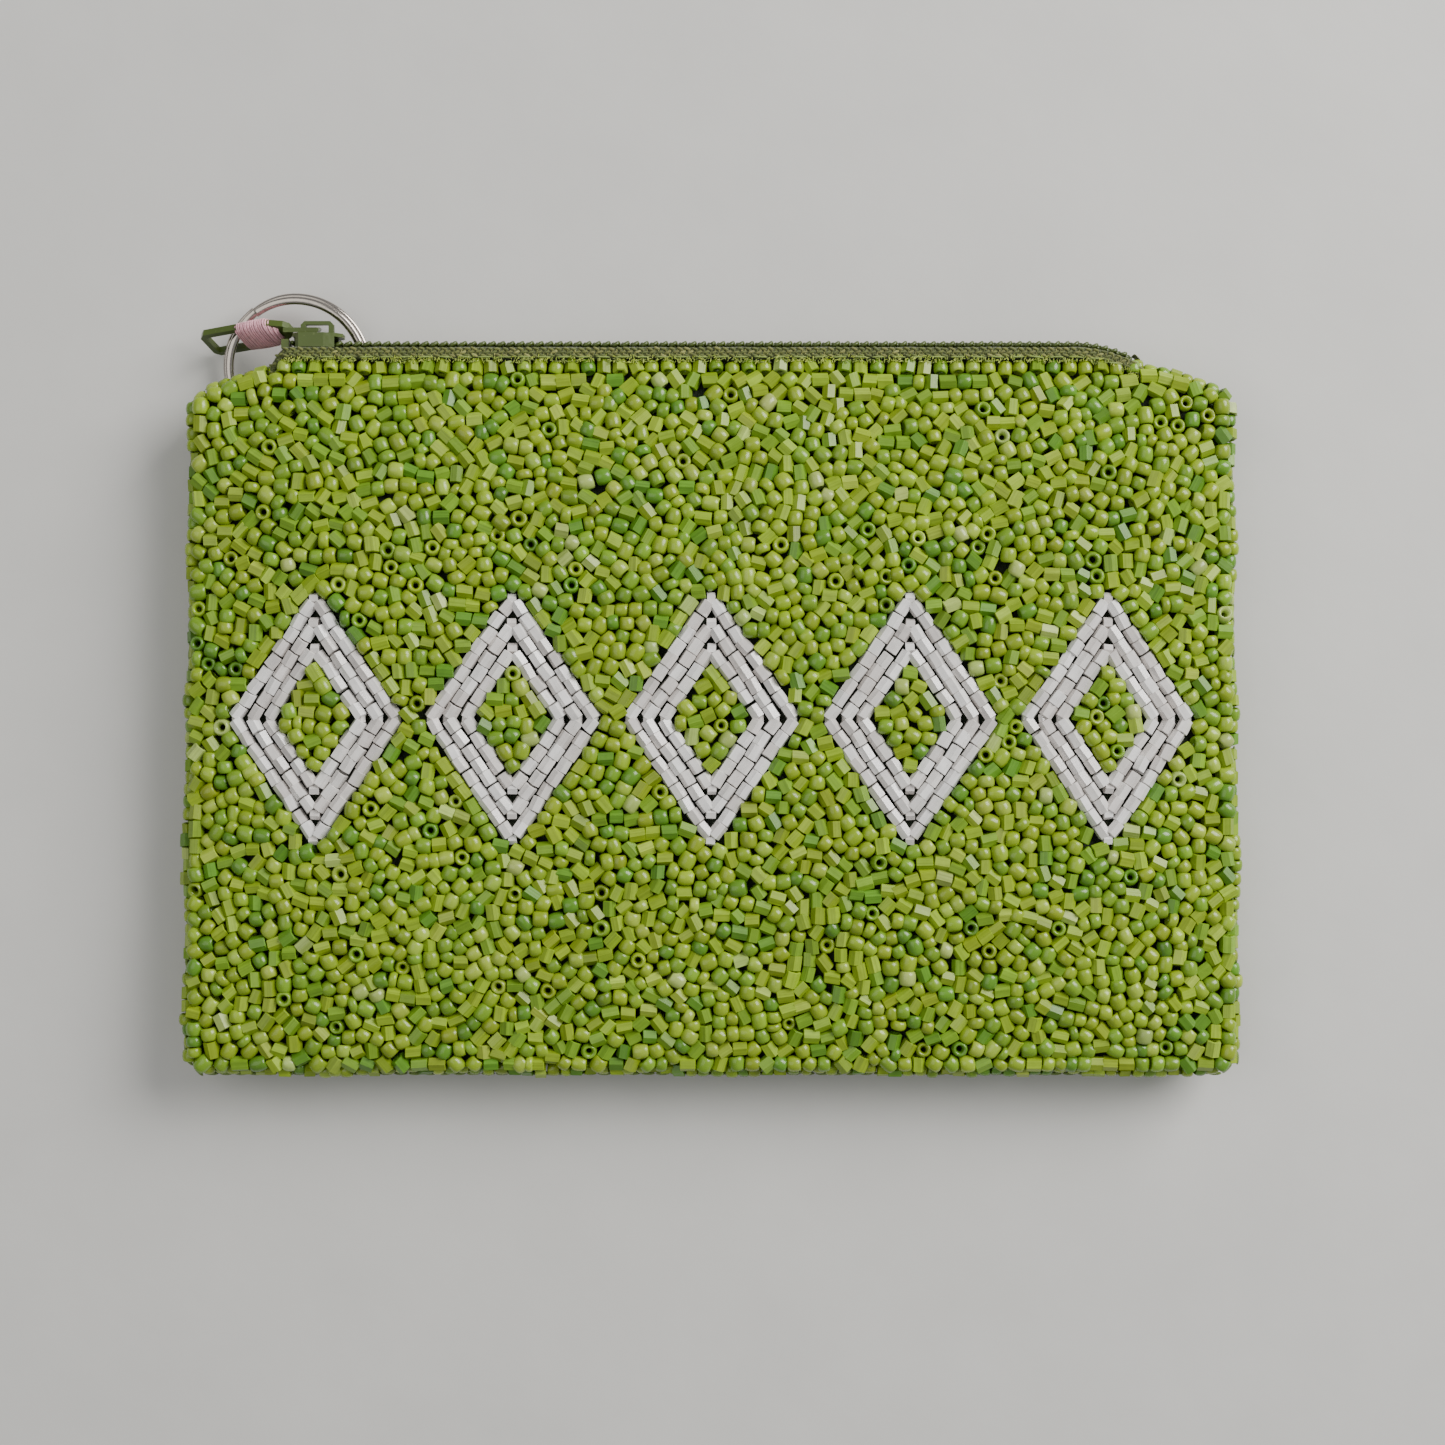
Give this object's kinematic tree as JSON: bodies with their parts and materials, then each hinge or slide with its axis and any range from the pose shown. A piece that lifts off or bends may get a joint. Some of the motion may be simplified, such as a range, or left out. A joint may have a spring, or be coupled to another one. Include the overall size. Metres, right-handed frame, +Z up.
{
  "type": "coin purse",
  "caption": "Flat bead-embroidered coin purse with a lined pocket, a coil zip along the top edge, a thread-wrapped zip pull and a split key ring.",
  "frame": {"origin": "middle of the flat patch of the back that the purse rests on, lying on its back", "axes": "+X along the zip towards its open end, +Y from the bottom seam to the zip, +Z up through the front face"},
  "size_m": [0.1406, 0.1046, 0.0132],
  "materials": {
    "green_beads": "opaque green glass seed beads, glossy and satin mixed",
    "pearl_beads": "pearl white cut glass beads",
    "ground_cloth": "tight plain-woven cotton, dark green",
    "lining": "satin lining",
    "thread": "twisted polyester sewing thread",
    "zip_tape": "woven olive polyester tape",
    "zip_coil": "dark olive nylon coil",
    "olive_paint": "satin olive lacquer on die-cast zinc",
    "pink_thread": "pale pink cotton thread",
    "nickel": "bright nickel plate on steel"
  },
  "bodies": {
    "purse_back": {"back_beads": "green_beads", "back_cloth": "ground_cloth", "back_lining": "lining", "edge_seam": "thread", "back_zip_tape": "zip_tape", "back_zip_coil": "zip_coil", "back_zip_stitches": "thread", "back_top_stop": "zip_coil", "bottom_stop": "zip_coil"},
    "purse_front": {"front_beads": "green_beads", "front_motif_beads": "pearl_beads", "front_cloth": "ground_cloth", "front_lining": "lining", "front_zip_tape": "zip_tape", "front_zip_coil": "zip_coil", "front_zip_stitches": "thread", "front_top_stop": "zip_coil"},
    "slider": {"zip_slider": "olive_paint"},
    "pull": {"zip_pull": "olive_paint", "pull_thread_wrap": "pink_thread"},
    "key_ring": {"split_ring": "nickel"}
  },
  "joints": [
    {"name": "slider_travel", "type": "slide", "parent": "purse_back", "child": "slider", "axis": [1, 0, 0], "range_m": [0, 0.098]},
    {"name": "mouth_spread", "type": "hinge", "parent": "purse_back", "child": "purse_front", "pos_m": [0, -0.0475, 0.0066], "axis": [1, 0, 0], "range_deg": [0, 12.1], "deforming": ["front_zip_tape", "front_zip_coil"]},
    {"name": "pull_turn", "type": "hinge", "parent": "slider", "child": "pull", "pos_m": [-0.0524, 0.0518, 0.0066], "axis": [0, -0.1676, 0.9859], "range_deg": [-170, 0]},
    {"name": "ring_swing", "type": "hinge", "parent": "pull", "child": "key_ring", "pos_m": [-0.06423, 0.05096, 0.00319], "axis": [-0.4119, -0.8983, -0.1527], "range_deg": [-180, 0]}
  ],
  "couplings": [
    {"joint": "mouth_spread", "follows": "slider_travel", "rad_per_m": 2.1371}
  ]
}
